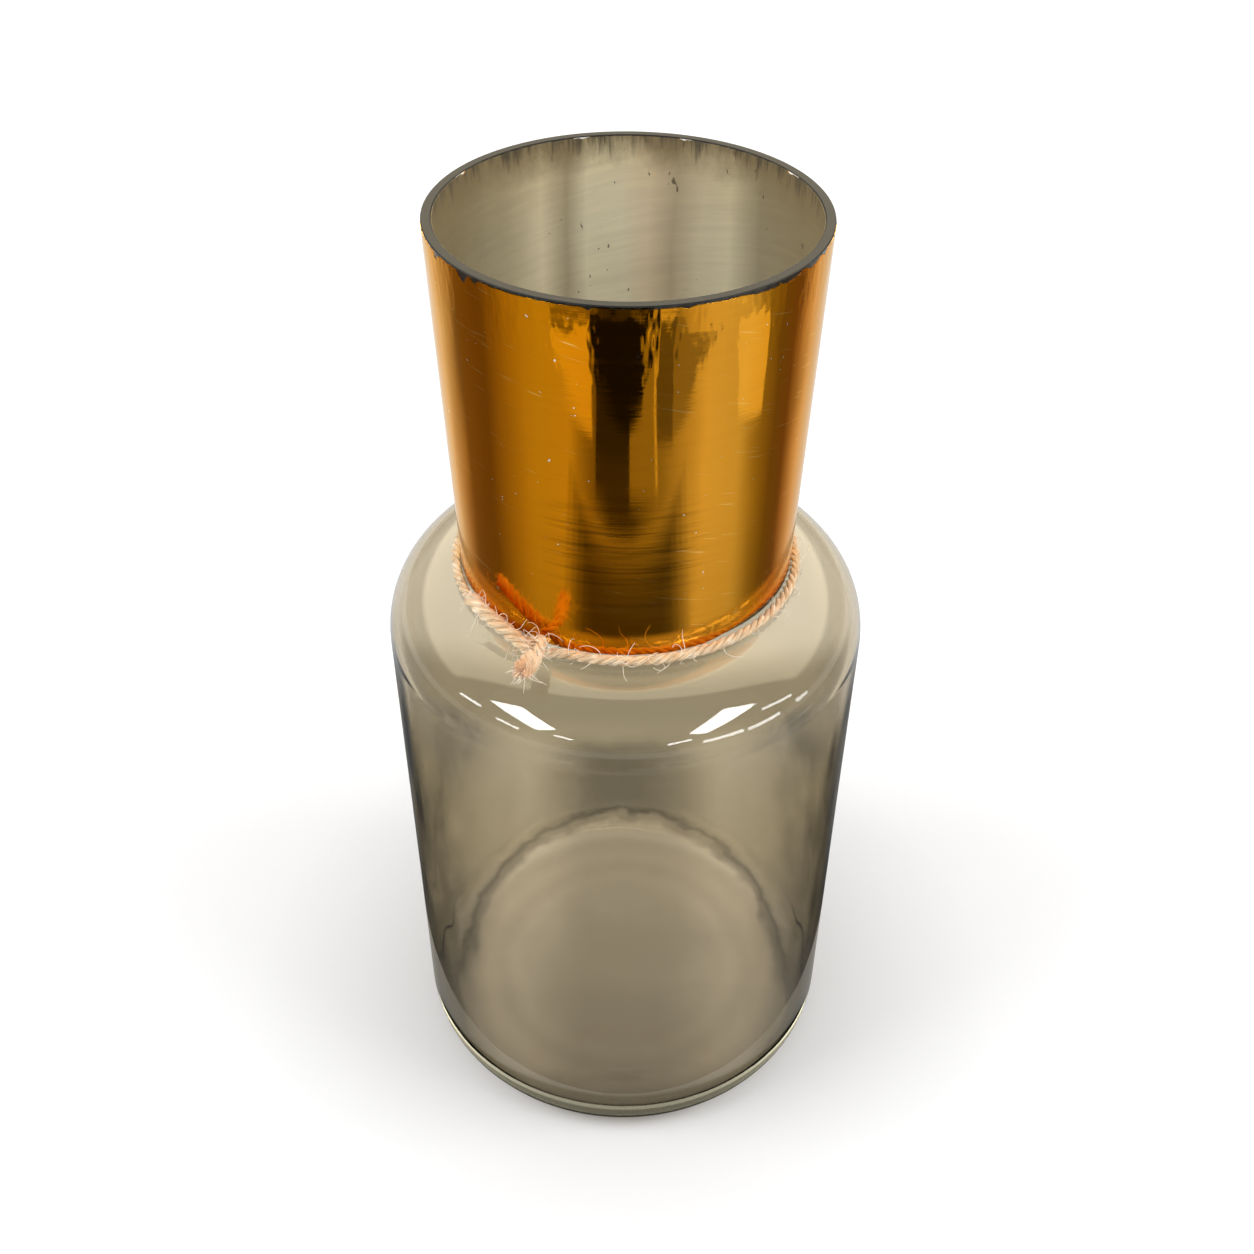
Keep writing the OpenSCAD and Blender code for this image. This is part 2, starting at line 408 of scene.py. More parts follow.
def neck_sleeve(name, low, high, radius_at, near, far, spread, seed, rise=None):
    """A thin sleeve on a neck surface, from near to far off it, with a ragged top.

    rise gives, for an angle, how far its lower edge goes up."""
    rows = [low + (high - low) * i / SLEEVE_ROWS for i in range(SLEEVE_ROWS + 1)]
    outline = [((radius_at(z) + far) * MM, z * MM) for z in rows]
    outline += [((radius_at(z) + near) * MM, z * MM) for z in reversed(rows)]
    outline.append(outline[0])
    piece = turned(name, outline, SLEEVE_STEPS)
    half_row = (high - low) / SLEEVE_ROWS / 2
    for corner in piece.data.vertices:
        z = corner.co.z / MM
        angle = math.atan2(corner.co.y, corner.co.x)
        if z > high - half_row:
            lift = -edge_drop(angle, spread, seed)
        elif rise and z < low + half_row:
            lift = rise(angle)
        else:
            continue
        layer = math.hypot(corner.co.x, corner.co.y) / MM - radius_at(z)
        r = (radius_at(z + lift) + layer) * MM
        corner.co = (math.cos(angle) * r, math.sin(angle) * r, (z + lift) * MM)
    return piece


def silver_mirror():
    material, tree, out, place = new_material("silver_mirror")
    x, _, height = add_node(tree, "ShaderNodeSeparateXYZ", {0: place}).outputs
    drift = noise_of(tree, place, 40, 4, size=(1, 1, 0.25))
    cloud = noise_of(tree, place, 75, 6, size=(1, 1, 0.7), rough=0.65)
    # painted reflection: soft upright bands of light and shade across the back wall, from left to right
    shift = scaled(tree, drift, 0.006, -0.003)
    across = scaled(tree, arithmetic(tree, "ADD", x, shift), 10.0, 0.5)
    bands = ramp(tree, across, (0.03, (0.33, 0.28, 0.19)), (0.11, (0.42, 0.38, 0.29)),
                 (0.18, (0.60, 0.55, 0.43)), (0.26, (0.94, 0.88, 0.73)), (0.33, (0.55, 0.50, 0.40)),
                 (0.385, (1.0, 0.98, 0.87)), (0.49, (1.0, 0.98, 0.89)), (0.56, (0.95, 0.85, 0.74)),
                 (0.63, (0.62, 0.56, 0.46)), (0.70, (0.86, 0.81, 0.70)), (0.77, (0.88, 0.84, 0.71)),
                 (0.85, (0.43, 0.39, 0.31)), (0.96, (0.36, 0.31, 0.22)))
    wipe = ramp(tree, drift, (0.30, grey(0.95)), (0.70, grey(1.0)))
    colour = blend_colour(tree, 1.0, bands, wipe, "MULTIPLY")
    tilted = add_node(tree, "ShaderNodeMapping", {0: place, 2: (0.10, 0.22, 0)}).outputs[0]
    brushed = noise_of(tree, tilted, 1, 4, size=(34, 34, 520), rough=0.7)
    brushed = ramp(tree, brushed, (0.38, grey(0.95)), (0.62, grey(1.03)))
    colour = blend_colour(tree, 1.0, colour, brushed, "MULTIPLY")
    upper = ramp(tree, scaled(tree, height, 10.0, -2.2),
                 (0.30, (1.0, 1.0, 0.94)), (0.55, (0.94, 0.92, 0.82)), (0.80, (0.84, 0.77, 0.56)))
    colour = blend_colour(tree, 1.0, colour, upper, "MULTIPLY")
    marks = noise_of(tree, place, 420, 2, size=(1, 1, 0.5))
    marks = ramp(tree, marks, (0.715, grey(0)), (0.74, grey(0.8)))
    colour = blend_colour(tree, marks, colour, (0.08, 0.07, 0.05, 1))
    # brown, brushed tarnish under the rim
    strokes = noise_of(tree, place, 420, 5, size=(1, 1, 0.10), rough=0.7)
    near_rim = add_node(tree, "ShaderNodeMapRange", {
        0: height, 1: 0.280, 2: 0.2995, 3: 0.0, 4: 1.0}).outputs[0]
    tarnish = times(tree, near_rim, arithmetic(tree, "ADD", cloud, 0.22))
    tarnish = ramp(tree, tarnish, (0.34, grey(0)), (0.70, grey(0.9)))
    colour = blend_colour(tree, tarnish, colour, (0.26, 0.20, 0.11, 1))
    dark = ramp(tree, times(tree, near_rim, strokes), (0.42, grey(0)), (0.58, grey(0.85)))
    colour = blend_colour(tree, dark, colour, (0.10, 0.085, 0.06, 1))
    rough = ramp(tree, cloud, (0.3, grey(0.30)), (0.8, grey(0.42)))
    ripple = noise_of(tree, place, 60, 2, size=(1, 1, 0.12))
    metal = add_node(tree, "ShaderNodeBsdfPrincipled", {
        "Base Color": colour, "Metallic": 0.28, "Roughness": rough, "Specular IOR Level": 0.3,
        "Normal": bump(tree, ripple, 0.0008, 0.3)})
    tree.links.new(metal.outputs[0], out.inputs["Surface"])
    return material


def amber_mirror():
    material, tree, out, place = new_material("amber_mirror")
    x, _, height = add_node(tree, "ShaderNodeSeparateXYZ", {0: place}).outputs
    # painted reflection: the gilding's colour, lighter and darker across the neck from left to right and
    # pale at both edges, stands in for the room it mirrors
    broad = noise_of(tree, place, 14, 3, size=(1, 1, 0.3))
    turn = arithmetic(tree, "ADD", scaled(tree, x, 9.0, 0.5),
                      scaled(tree, broad, 0.16, -0.08))
    colour = ramp(tree, turn, (0.06, (0.74, 0.51, 0.19)), (0.10, (0.75, 0.33, 0.05)),
                  (0.13, (0.72, 0.21, 0.002)), (0.16, (0.70, 0.190, 0.001)), (0.225, (0.74, 0.240, 0.001)),
                  (0.29, (0.77, 0.280, 0.002)), (0.42, (0.73, 0.245, 0.002)), (0.54, (0.74, 0.28, 0.006)),
                  (0.67, (0.79, 0.34, 0.024)), (0.75, (0.80, 0.355, 0.024)), (0.80, (0.75, 0.29, 0.006)),
                  (0.857, (0.71, 0.18, 0.001)), (0.90, (0.73, 0.29, 0.03)), (0.94, (0.70, 0.43, 0.16)))
    # painted shade: the gilding is darker towards the bottom of the neck
    lower_painted_shade = ramp(tree, scaled(tree, height, 10.0, -2.0),
                (0.0, grey(0.86)), (0.45, grey(1.0)))
    colour = blend_colour(tree, 1.0, colour, lower_painted_shade, "MULTIPLY")
    # horizontal wiping marks low on the front, fainter elsewhere
    lines = noise_of(tree, place, 1, 4, size=(26, 26, 900), rough=0.7)
    band = times(tree, smooth_step(tree, height, 0.213, 0.226),
                 one_minus(tree, smooth_step(tree, height, 0.236, 0.250)))
    middle = one_minus(tree, smooth_step(tree, arithmetic(tree, "ABSOLUTE", x), 0.010, 0.024))
    wiped = scaled(tree, times(tree, band, middle), 0.60, 0.03)
    dark_lines = ramp(tree, lines, (0.40, grey(1)), (0.52, grey(0.15)), (0.60, grey(0)))
    wiped = times(tree, wiped, dark_lines)
    colour = blend_colour(tree, wiped, colour, (0.22, 0.08, 0.002, 1))
    # fine slanting scratches, bare specks and wipes
    slanted = add_node(tree, "ShaderNodeMapping", {0: place, 2: (0.14, -0.26, 0)}).outputs[0]
    scratches = noise_of(tree, slanted, 1, 2, size=(60, 60, 1500), rough=0.5)
    scratches = ramp(tree, scratches, (0.695, grey(0)), (0.73, grey(0.55)))
    colour = blend_colour(tree, scratches, colour, (0.90, 0.55, 0.16, 1))
    specks = noise_of(tree, place, 620, 2)
    bare = ramp(tree, specks, (0.735, grey(0)), (0.765, grey(1)))
    colour = blend_colour(tree, bare, colour, (0.85, 0.80, 0.68, 1))
    low = one_minus(tree, smooth_step(tree, height, 0.215, 0.275))
    wipes = noise_of(tree, place, 30, 6, size=(0.4, 0.4, 14))
    rough = scaled(tree, low, 0.075, 0.012)
    rough = arithmetic(tree, "ADD", rough, ramp(tree, wipes, (0.35, grey(0.0)), (0.75, grey(0.09))))
    waves = noise_of(tree, place, 22, 2, size=(1, 1, 0.35))
    skin = bump(tree, waves, 0.0010, 0.25)
    skin = bump(tree, lines, 0.00002, 0.3, skin)
    # runs of lacquer under the rim
    runs = noise_of(tree, place, 120, 3, size=(1, 1, 0.3))
    top = smooth_step(tree, height, 0.272, 0.298)
    skin = bump(tree, times(tree, runs, top), 0.0012, 0.35, skin)
    metal = add_node(tree, "ShaderNodeBsdfPrincipled", {
        "Base Color": colour, "Metallic": 1.0, "Roughness": rough, "Normal": skin,
        "Specular Tint": (1.0, 0.80, 0.55, 1), "Coat Weight": 0.08, "Coat Roughness": 0.02,
        "Coat IOR": 1.3})
    tree.links.new(metal.outputs[0], out.inputs["Surface"])
    return material


def neck_coating():
    film = neck_sleeve("mirror_film_layer", FILM_LOW, FILM_HIGH, inner_neck_radius,
                       LAYER_SUNK, -LAYER_T, 0.35, 8.3)
    film.data.materials.append(silver_mirror())
    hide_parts("mirror_film")
    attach(film, "root")
    lacquer = neck_sleeve("amber_lacquer_layer", LACQUER_LOW, LACQUER_HIGH, neck_radius,
                          -LAYER_SUNK, LAYER_T, 1.0, 3.1, edge_rise)
    lacquer.data.materials.append(amber_mirror())
    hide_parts("amber_lacquer")
    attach(lacquer, "root")


# Jute cord

LOOP_R = 49.57
LOOP_Z = 195.10
KNOT_TURN = math.radians(26)
KNOT_OUT = Vector((-math.sin(KNOT_TURN), -math.cos(KNOT_TURN), 0))
KNOT_LEFT = Vector((-math.cos(KNOT_TURN), math.sin(KNOT_TURN), 0))
UP = Vector((0, 0, 1))
# the loop from the knot round to the knot, in degrees
LOOP_START = 11
LOOP_SWEEP = 342

# points of the cord's line about the knot: left, out and up from it, in mm
FRONT_END = [(-1.0, 14.8, 3.4), (-1.0, 11.8, 3.2), (-1.0, 8.9, 3.0)]
HOOK = [(-1.0, 6.3, 3.0), (-0.9, 4.3, 3.4), (-0.5, 2.5, 3.6), (0.2, 1.0, 3.4),
        (1.4, 0.3, 2.4), (3.0, 0.1, 1.1), (5.0, -0.1, 0.3), (7.2, -0.4, 0.0)]
UNDER = [(-3.6, 0.6, -0.1), (-1.4, 1.8, -0.2), (0.6, 3.0, -0.1), (2.8, 3.6, 0.9),
         (5.2, 3.3, 2.3), (8.0, 2.9, 3.6)]
LEFT_END = [(11.5, 2.4, 4.9), (15.2, 1.8, 6.1), (19.2, 0.7, 7.4), (23.2, -0.6, 8.7)]


def from_knot(point):
    left, out, up = point
    return (KNOT_OUT * (LOOP_R + out) + KNOT_LEFT * left + UP * (LOOP_Z + up)) * MM


def loop_points(steps=46):
    points = []
    for i in range(steps + 1):
        turn = KNOT_TURN + math.radians(LOOP_START + LOOP_SWEEP * i / steps)
        points.append(Vector((-math.sin(turn) * LOOP_R, -math.cos(turn) * LOOP_R, LOOP_Z)) * MM)
    return points


def smooth_route(points, step):
    """Points on a smooth curve through the given ones, a step apart."""
    route = []
    ends = [points[0] * 2 - points[1]] + points + [points[-1] * 2 - points[-2]]
    for i in range(1, len(ends) - 2):
        p0, p1, p2, p3 = ends[i - 1:i + 3]
        n = max(1, round((p2 - p1).length / step))
        for k in range(n):
            t = k / n
            route.append(0.5 * (2 * p1 + (p2 - p0) * t + (2 * p0 - 5 * p1 + 4 * p2 - p3) * t * t
                                + (3 * p1 - p0 - 3 * p2 + p3) * t * t * t))
    route.append(points[-1])
    return route


def carried_frames(route, first):
    """(ahead, side, other side) at each point, with the sides carried along the route."""
    frames = []
    side = first
    for i in range(len(route)):
        ahead = (route[min(i + 1, len(route) - 1)] - route[max(i - 1, 0)]).normalized()
        side = (side - ahead * side.dot(ahead)).normalized()
        frames.append((ahead, side, ahead.cross(side)))
    return frames


def tube(points, radii, sides, first=Vector((0.31, 0.22, 0.93))):
    """Corners, faces and (along, around) marks in metres of a closed tube along points."""
    frames = carried_frames(points, first)
    corners, faces, marks = [], [], []
    length = 0.0
    for i, point in enumerate(points):
        step = (point - points[i - 1]).length if i else 0.0
        _, side, other = frames[i]
        for k in range(sides):
            a = 2 * math.pi * k / sides
            corners.append(point + radii[i] * (math.cos(a) * side + math.sin(a) * other))
        if i:
            low, high = (i - 1) * sides, i * sides
            for k in range(sides):
                j = (k + 1) % sides
                faces.append((low + k, low + j, high + j, high + k))
                near, far = k / sides * PLY_ROUND, (k + 1) / sides * PLY_ROUND
                end = length + step
                marks.append(((length, near), (length, far), (end, far), (end, near)))
        length += step
    start, finish = len(corners), len(corners) + 1
    corners += [points[0], points[-1]]
    last = (len(points) - 1) * sides
    for k in range(sides):
        j = (k + 1) % sides
        faces.append((start, j, k))
        marks.append(((0, 0),) * 3)
        faces.append((finish, last + k, last + j))
        marks.append(((length, 0),) * 3)
    return corners, faces, marks


def mesh_piece(name, parts):
    """One mesh piece from (corners, faces, marks) parts."""
    corners, faces, marks = [], [], []
    for more_corners, more_faces, more_marks in parts:
        base = len(corners)
        corners += more_corners
        faces += [tuple(base + i for i in face) for face in more_faces]
        marks += more_marks
    mesh = bpy.data.meshes.new(name)
    mesh.from_pydata([tuple(c) for c in corners], [], faces)
    lay = mesh.uv_layers.new(name="lay")
    for face, face_marks in zip(mesh.polygons, marks):
        for corner, mark in zip(face.loop_indices, face_marks):
            lay.data[corner].uv = mark
    piece = bpy.data.objects.new(name, mesh)
    bpy.context.scene.collection.objects.link(piece)
    only(piece)
    bpy.ops.object.mode_set(mode="EDIT")
    bpy.ops.mesh.select_all(action="SELECT")
    bpy.ops.mesh.normals_make_consistent(inside=False)
    bpy.ops.object.mode_set(mode="OBJECT")
    bpy.ops.object.shade_smooth()
    return piece


# added to the marks of a loose hair, so that the look can tell it from the plies
HAIR_MARK = 10.0


def jute():
    material, tree, out, place = new_material("jute")
    lay = add_node(tree, "ShaderNodeTexCoord").outputs["UV"]
    fibre = noise_of(tree, lay, 1, 4, size=(220, 3600, 1), rough=0.65)
    strand = noise_of(tree, lay, 1, 2, size=(120, 1500, 1))
    patch = noise_of(tree, place, 260, 3)
    colour = ramp(tree, patch, (0.30, (0.74, 0.49, 0.26)), (0.52, (0.88, 0.67, 0.43)),
                  (0.72, (0.97, 0.83, 0.62)))
    tip = from_knot(FRONT_END[0])
    far = add_node(tree, "ShaderNodeVectorMath", {0: place, 1: tip}, operation="DISTANCE")
    cut = one_minus(tree, smooth_step(tree, far.outputs["Value"], 0.0016, 0.0050))
    colour = blend_colour(tree, times(tree, cut, 0.75), colour, (0.62, 0.29, 0.13, 1))
    light = ramp(tree, fibre, (0.30, grey(0.26)), (0.44, grey(0.85)), (0.66, grey(1.22)))
    colour = blend_colour(tree, 1.0, colour, light, "MULTIPLY")
    along = add_node(tree, "ShaderNodeSeparateXYZ", {0: lay}).outputs[0]
    hair = arithmetic(tree, "GREATER_THAN", along, HAIR_MARK / 2)
    colour = blend_colour(tree, hair, colour, (0.96, 0.88, 0.72, 1))
    plain = one_minus(tree, hair)
    skin = bump(tree, times(tree, strand, plain), 0.00040, 0.9)
    skin = bump(tree, times(tree, fibre, plain), 0.00022, 0.9, skin)
    cloth = add_node(tree, "ShaderNodeBsdfPrincipled", {
        "Base Color": colour, "Roughness": 0.85, "Sheen Weight": 0.3, "Sheen Roughness": 0.4,
        "Specular IOR Level": 0.2, "Normal": skin})
    tree.links.new(cloth.outputs[0], out.inputs["Surface"])
    return material


PLIES = 3
LAY = 9.0 * MM
PLY_R = 0.70 * MM
PLY_OFFSET = 0.78 * MM
PLY_ROUND = 2 * math.pi * PLY_R
PLY_SIDES = 14
FIBRE_R = 0.120 * MM
FIBRE_SIDES = 4
FIRST_SIDE = Vector((0.2, 0.1, 1))
LOOSE_HAIRS = 330
FRONT_HAIRS = 46
LEFT_HAIRS = 16
FRONT_TUFT = 44
LEFT_TUFT = 20
STEP = 0.6 * MM


def laid_cord(route, spread):
    """The plies of a laid cord along a route. spread gives how far they stand apart."""
    frames = carried_frames(route, FIRST_SIDE)
    lengths = [0.0]
    for a, b in zip(route, route[1:]):
        lengths.append(lengths[-1] + (b - a).length)
    parts = []
    for ply in range(PLIES):
        points, radii = [], []
        for i, point in enumerate(route):
            a = 2 * math.pi * (ply / PLIES - lengths[i] / LAY)
            _, side, other = frames[i]
            wide = spread(lengths[i], lengths[-1])
            points.append(point + PLY_OFFSET * wide * (math.cos(a) * side + math.sin(a) * other))
            wobble = 1 + 0.10 * noise.noise(Vector((lengths[i] * 400, ply * 7.7, 0)))
            radii.append(PLY_R * wide * wobble)
        parts.append(tube(points, radii, PLY_SIDES, frames[0][1]))
    return parts


def clear_of_glass(point, room=0.12):
    """The point, moved off the neck and the shoulder where it would lie in the glass."""
    r, z = math.hypot(point.x, point.y) / MM, point.z / MM
    z = max(z, (shoulder_height(r) if r > NECK_R else NECK_ROOT_H) + room)
    out = max(r, neck_radius(z) + LAYER_T + room) / max(r, 0.001)
    return Vector((point.x * out, point.y * out, z * MM))


def loose_fibre(start, ahead, length, curl, rng):
    """A thin hair that leaves the cord and curls."""
    turn_axis = Vector((rng.uniform(-1, 1), rng.uniform(-1, 1), rng.uniform(-1, 1))).normalized()
    points = [start]
    steps = 9
    for i in range(steps):
        ahead = (Quaternion(turn_axis, curl / steps * rng.uniform(0.3, 1.7)) @ ahead).normalized()
        points.append(clear_of_glass(points[-1] + ahead * length / steps))
    radii = [FIBRE_R * (1 - 0.55 * i / steps) for i in range(steps + 1)]
    corners, faces, marks = tube(points, radii, FIBRE_SIDES)
    marks = [tuple((along + HAIR_MARK, around) for along, around in face) for face in marks]
    return corners, faces, marks


def fibres(route, rng):
    """Loose hairs along the cord, most of them about the knot, and tufts at both ends."""
    frames = carried_frames(route, FIRST_SIDE)
    parts = []
    last = len(route) - 1

    def hair(i, length, curl, forward, stand):
        ahead, side, other = frames[i]
        a = rng.uniform(0, 2 * math.pi)
        out = math.cos(a) * side + math.sin(a) * other
        way = (out * stand + ahead * forward).normalized()
        parts.append(loose_fibre(route[i] + out * stand * 1.1 * MM, way, length * MM, curl, rng))

    for _ in range(LOOSE_HAIRS):
        i = rng.randrange(last)
        place = route[i]
        front = max(0.0, -place.y / (50 * MM))
        near_knot = (place - from_knot((0, 2, 2))).length < 16 * MM
        if rng.random() > 0.20 + 0.6 * front and not near_knot:
            continue
        hair(i, rng.uniform(1.5, 9), rng.uniform(1, 7), rng.uniform(-1, 1), 1)
    for _ in range(FRONT_HAIRS):
        hair(rng.randrange(round(24 * MM / STEP)), rng.uniform(2, 8), rng.uniform(1, 4),
             rng.uniform(-1, 1), 1.2)
    for _ in range(LEFT_HAIRS):
        hair(last - rng.randrange(round(20 * MM / STEP)), rng.uniform(2, 5), rng.uniform(1, 3),
             rng.uniform(-1, 1), 1)
    for _ in range(FRONT_TUFT):
        hair(rng.randrange(3), rng.uniform(1.2, 3.2), rng.uniform(0.1, 0.8), -rng.uniform(0.8, 3),
             rng.uniform(0.2, 2.2))
    for _ in range(LEFT_TUFT):
        hair(last - rng.randrange(2), rng.uniform(1, 2.5), rng.uniform(0.1, 0.8), rng.uniform(0.8, 3),
             rng.uniform(0.2, 1.2))
    return parts


def frayed(distance, reach, rise):
    """How frayed the cord is, 0 to 1. It starts reach mm from its end and rises over rise mm."""
    return held((reach * MM - distance) / (rise * MM))


def jute_cord():
    cord = [from_knot(p) for p in FRONT_END + HOOK] + loop_points()
    cord += [from_knot(p) for p in UNDER + LEFT_END]
    route = smooth_route(cord, STEP)

    def spread(at, whole):
        return 1 + 0.45 * frayed(whole - at, 26, 10) + 0.95 * frayed(at, 12, 7)

    rng = random.Random(5)
    parts = laid_cord(route, spread) + fibres(route, rng)
    piece = mesh_piece("jute_cord", parts)
    piece.data.materials.append(jute())
    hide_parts("cord_loop", "cord_knot", "cord_end_left", "cord_end_front")
    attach(piece, "root")


# Studio

def direction(turn, rise):
    """The way towards a place turned from the front, minus to the left, and raised from level."""
    turn, rise = math.radians(turn), math.radians(rise)
    return Vector((math.sin(turn) * math.cos(rise), -math.cos(turn) * math.cos(rise), math.sin(rise)))


def surface_light(name, level):
    material, tree, out, _ = new_material(name)
    light = add_node(tree, "ShaderNodeEmission", {0: (1, 1, 1, 1), 1: level})
    tree.links.new(light.outputs[0], out.inputs["Surface"])
    return material


def for_mirrors_only(piece, casts_shadow=False):
    piece.visible_camera = False
    piece.visible_diffuse = False
    piece.visible_transmission = False
    piece.visible_shadow = casts_shadow


# panels that show as highlights on the shoulder, the last one unlit for a dark reflection: four corners as
# (turn, rise), and level
PANELS = [
    ((-66.0, 25.4), (-53.2, 37.0), (-31.0, 22.6), (-38.8, 14.4), 22),
    ((64.6, 26.0), (51.9, 38.4), (28.4, 19.6), (35.6, 14.1), 22),
    ((-78, 8.5), (-77, 12), (-66, 13.5), (-67, 10.5), 15),
    ((-58, 7.5), (-57, 10), (-46, 8.5), (-47, 6), 15),
    ((-31, 13), (-30, 15.5), (-22, 14), (-23, 12), 16),
    ((18, 7.5), (19, 10), (29, 12), (29, 9.5), 16),
    ((33, 1.5), (34, 5), (52, 3), (52, -1.5), 13),
    ((54, -3), (54, 1.5), (70, 0), (70, -4), 12),
    ((63, 14), (64, 17.5), (79, 10), (78, 7.5), 12),
    ((80, -8), (79, 1), (86, -1), (86, -10), 9),
    ((-19, 4), (-17, 17), (14, 16), (16, 4), 0),
]
FLOOR_R = 6
FLOOR_Z = -0.0002
RING_R = 0.085
RING_GROWTH = 13
RING_Z = 0.0004
CARD_Z = 0.0006
CARD_STEP = 0.0001
PANEL_REACH = 2.4
PANELS_ABOUT = Vector((0, -0.06, 0.185))
LAMP_TURNS = (-75, 75)
LAMP_RISE = 48
LAMP_REACH = 2.0
LAMP_SIZE = (1.0, 0.8)
LAMP_POWER = 14


def light_panels():
    for i, (*corners, level) in enumerate(PANELS):
        deselect()
        bpy.ops.mesh.primitive_plane_add(size=0.1)
        panel = bpy.context.object
        panel.name = f"light_panel_{i + 1}"
        for corner, k in zip(panel.data.vertices, (0, 1, 3, 2)):
            corner.co = PANELS_ABOUT + direction(*corners[k]) * PANEL_REACH
        panel.data.materials.append(surface_light(panel.name, level))
        for_mirrors_only(panel, casts_shadow=True)


# the ring that the glass and the gilding mirror: turn from the front, minus to the left, and level
RING_LEVELS = [
    (-180, 0.90), (-136, 0.95), (-121, 0.56), (-111, 0.24), (-88, 0.19), (-60, 0.56), (-34, 0.66),
    (-22, 0.30), (-12, 0.06), (3, 0.05), (14, 0.24), (24, 0.38), (46, 0.84), (68, 0.72), (84, 0.34),
    (96, 0.19), (108, 0.20), (120, 0.60), (130, 0.88), (180, 0.90)]

# cards that the front of the neck mirrors: level, and corners on the table in metres
MIRRORED_CARDS = [
    (0.88, (-0.362, -0.376), (-0.183, -0.490), (-0.135, -0.391), (-0.280, -0.364), (-0.348, -0.356)),
    (0.28, (-0.380, -0.420), (-0.190, -0.530), (-0.183, -0.492), (-0.362, -0.378)),
    (0.15, (0.138, -0.506), (0.213, -0.478), (0.181, -0.368), (0.116, -0.394)),
    (0.30, (0.213, -0.478), (0.401, -0.336), (0.183, -0.372)),
    (0.84, (0.138, -0.545), (0.250, -0.505), (0.238, -0.476), (0.136, -0.515)),
    (0.35, (0.012, -0.462), (0.132, -0.506), (0.108, -0.349), (0.013, -0.358)),
    (0.75, (0.124, -0.515), (0.136, -0.515), (0.114, -0.349), (0.106, -0.349)),
    (0.04, (-0.133, -0.452), (0.012, -0.456), (0.0125, -0.392), (-0.120, -0.382)),
    (0.06, (-0.120, -0.382), (0.0125, -0.392), (0.013, -0.363), (-0.110, -0.345)),
    (0.012, (-0.185, -0.530), (0.128, -0.545), (0.092, -0.476), (0.063, -0.432), (0.010, -0.415),
     (-0.087, -0.430), (-0.142, -0.440)),
    (0.95, (0.477, -0.254), (0.537, -0.056), (0.428, -0.045), (0.393, -0.175)),
    (0.50, (-0.215, -0.330), (0.220, -0.325), (0.165, -0.170), (-0.160, -0.170)),
    (0.34, (-0.190, -0.322), (0.198, -0.318), (0.150, -0.170), (-0.142, -0.170)),
    (0.20, (-0.165, -0.312), (0.173, -0.306), (0.134, -0.165), (-0.126, -0.165)),
    (0.11, (-0.140, -0.300), (0.150, -0.294), (0.115, -0.160), (-0.108, -0.160)),
    (0.08, (-0.112, -0.280), (0.122, -0.276), (0.093, -0.160), (-0.083, -0.160)),
]


def reflection_ring():
    deselect()
    bpy.ops.mesh.primitive_circle_add(vertices=96, radius=RING_R, fill_type="NOTHING")
    ring = bpy.context.object
    ring.name = "reflection_ring"
    bpy.ops.object.mode_set(mode="EDIT")
    bpy.ops.mesh.select_all(action="SELECT")
    bpy.ops.mesh.extrude_region_move()
    bpy.ops.transform.resize(value=(RING_GROWTH, RING_GROWTH, 1))
    bpy.ops.object.mode_set(mode="OBJECT")
    for corner in ring.data.vertices:
        corner.co.z = RING_Z
    material, tree, out, place = new_material("reflection_ring")
    # the gradient starts at -X, and the ring's levels at the back
    turned_place = add_node(tree, "ShaderNodeMapping", {
        0: place, 2: (0, 0, math.radians(90))}).outputs[0]
    wobble = noise_of(tree, place, 7, 2)
    share = add_node(tree, "ShaderNodeTexGradient", {0: turned_place}, gradient_type="RADIAL").outputs[1]
    share = arithmetic(tree, "ADD", share, scaled(tree, wobble, 0.03, -0.015))
    level = ramp(tree, share, *[((turn + 180) / 360, grey(level)) for turn, level in RING_LEVELS])
    away = length_of(tree, place)
    strength = scaled(tree, smooth_step(tree, away, 0.19, 0.27), 0.80, 0.20)
    light = add_node(tree, "ShaderNodeEmission", {0: level, 1: strength})
    tree.links.new(light.outputs[0], out.inputs["Surface"])
    ring.data.materials.append(material)
    for_mirrors_only(ring)


def mirrored_cards():
    for i, (level, *corners) in enumerate(MIRRORED_CARDS):
        deselect()
        bpy.ops.mesh.primitive_circle_add(vertices=len(corners), radius=0.1, fill_type="NGON")
        card = bpy.context.object
        card.name = f"mirrored_card_{i + 1}"
        for vertex, (x, y) in zip(card.data.vertices, corners):
            vertex.co = (x, y, CARD_Z + CARD_STEP * i)
        card.data.materials.append(surface_light(card.name, level))
        for_mirrors_only(card)


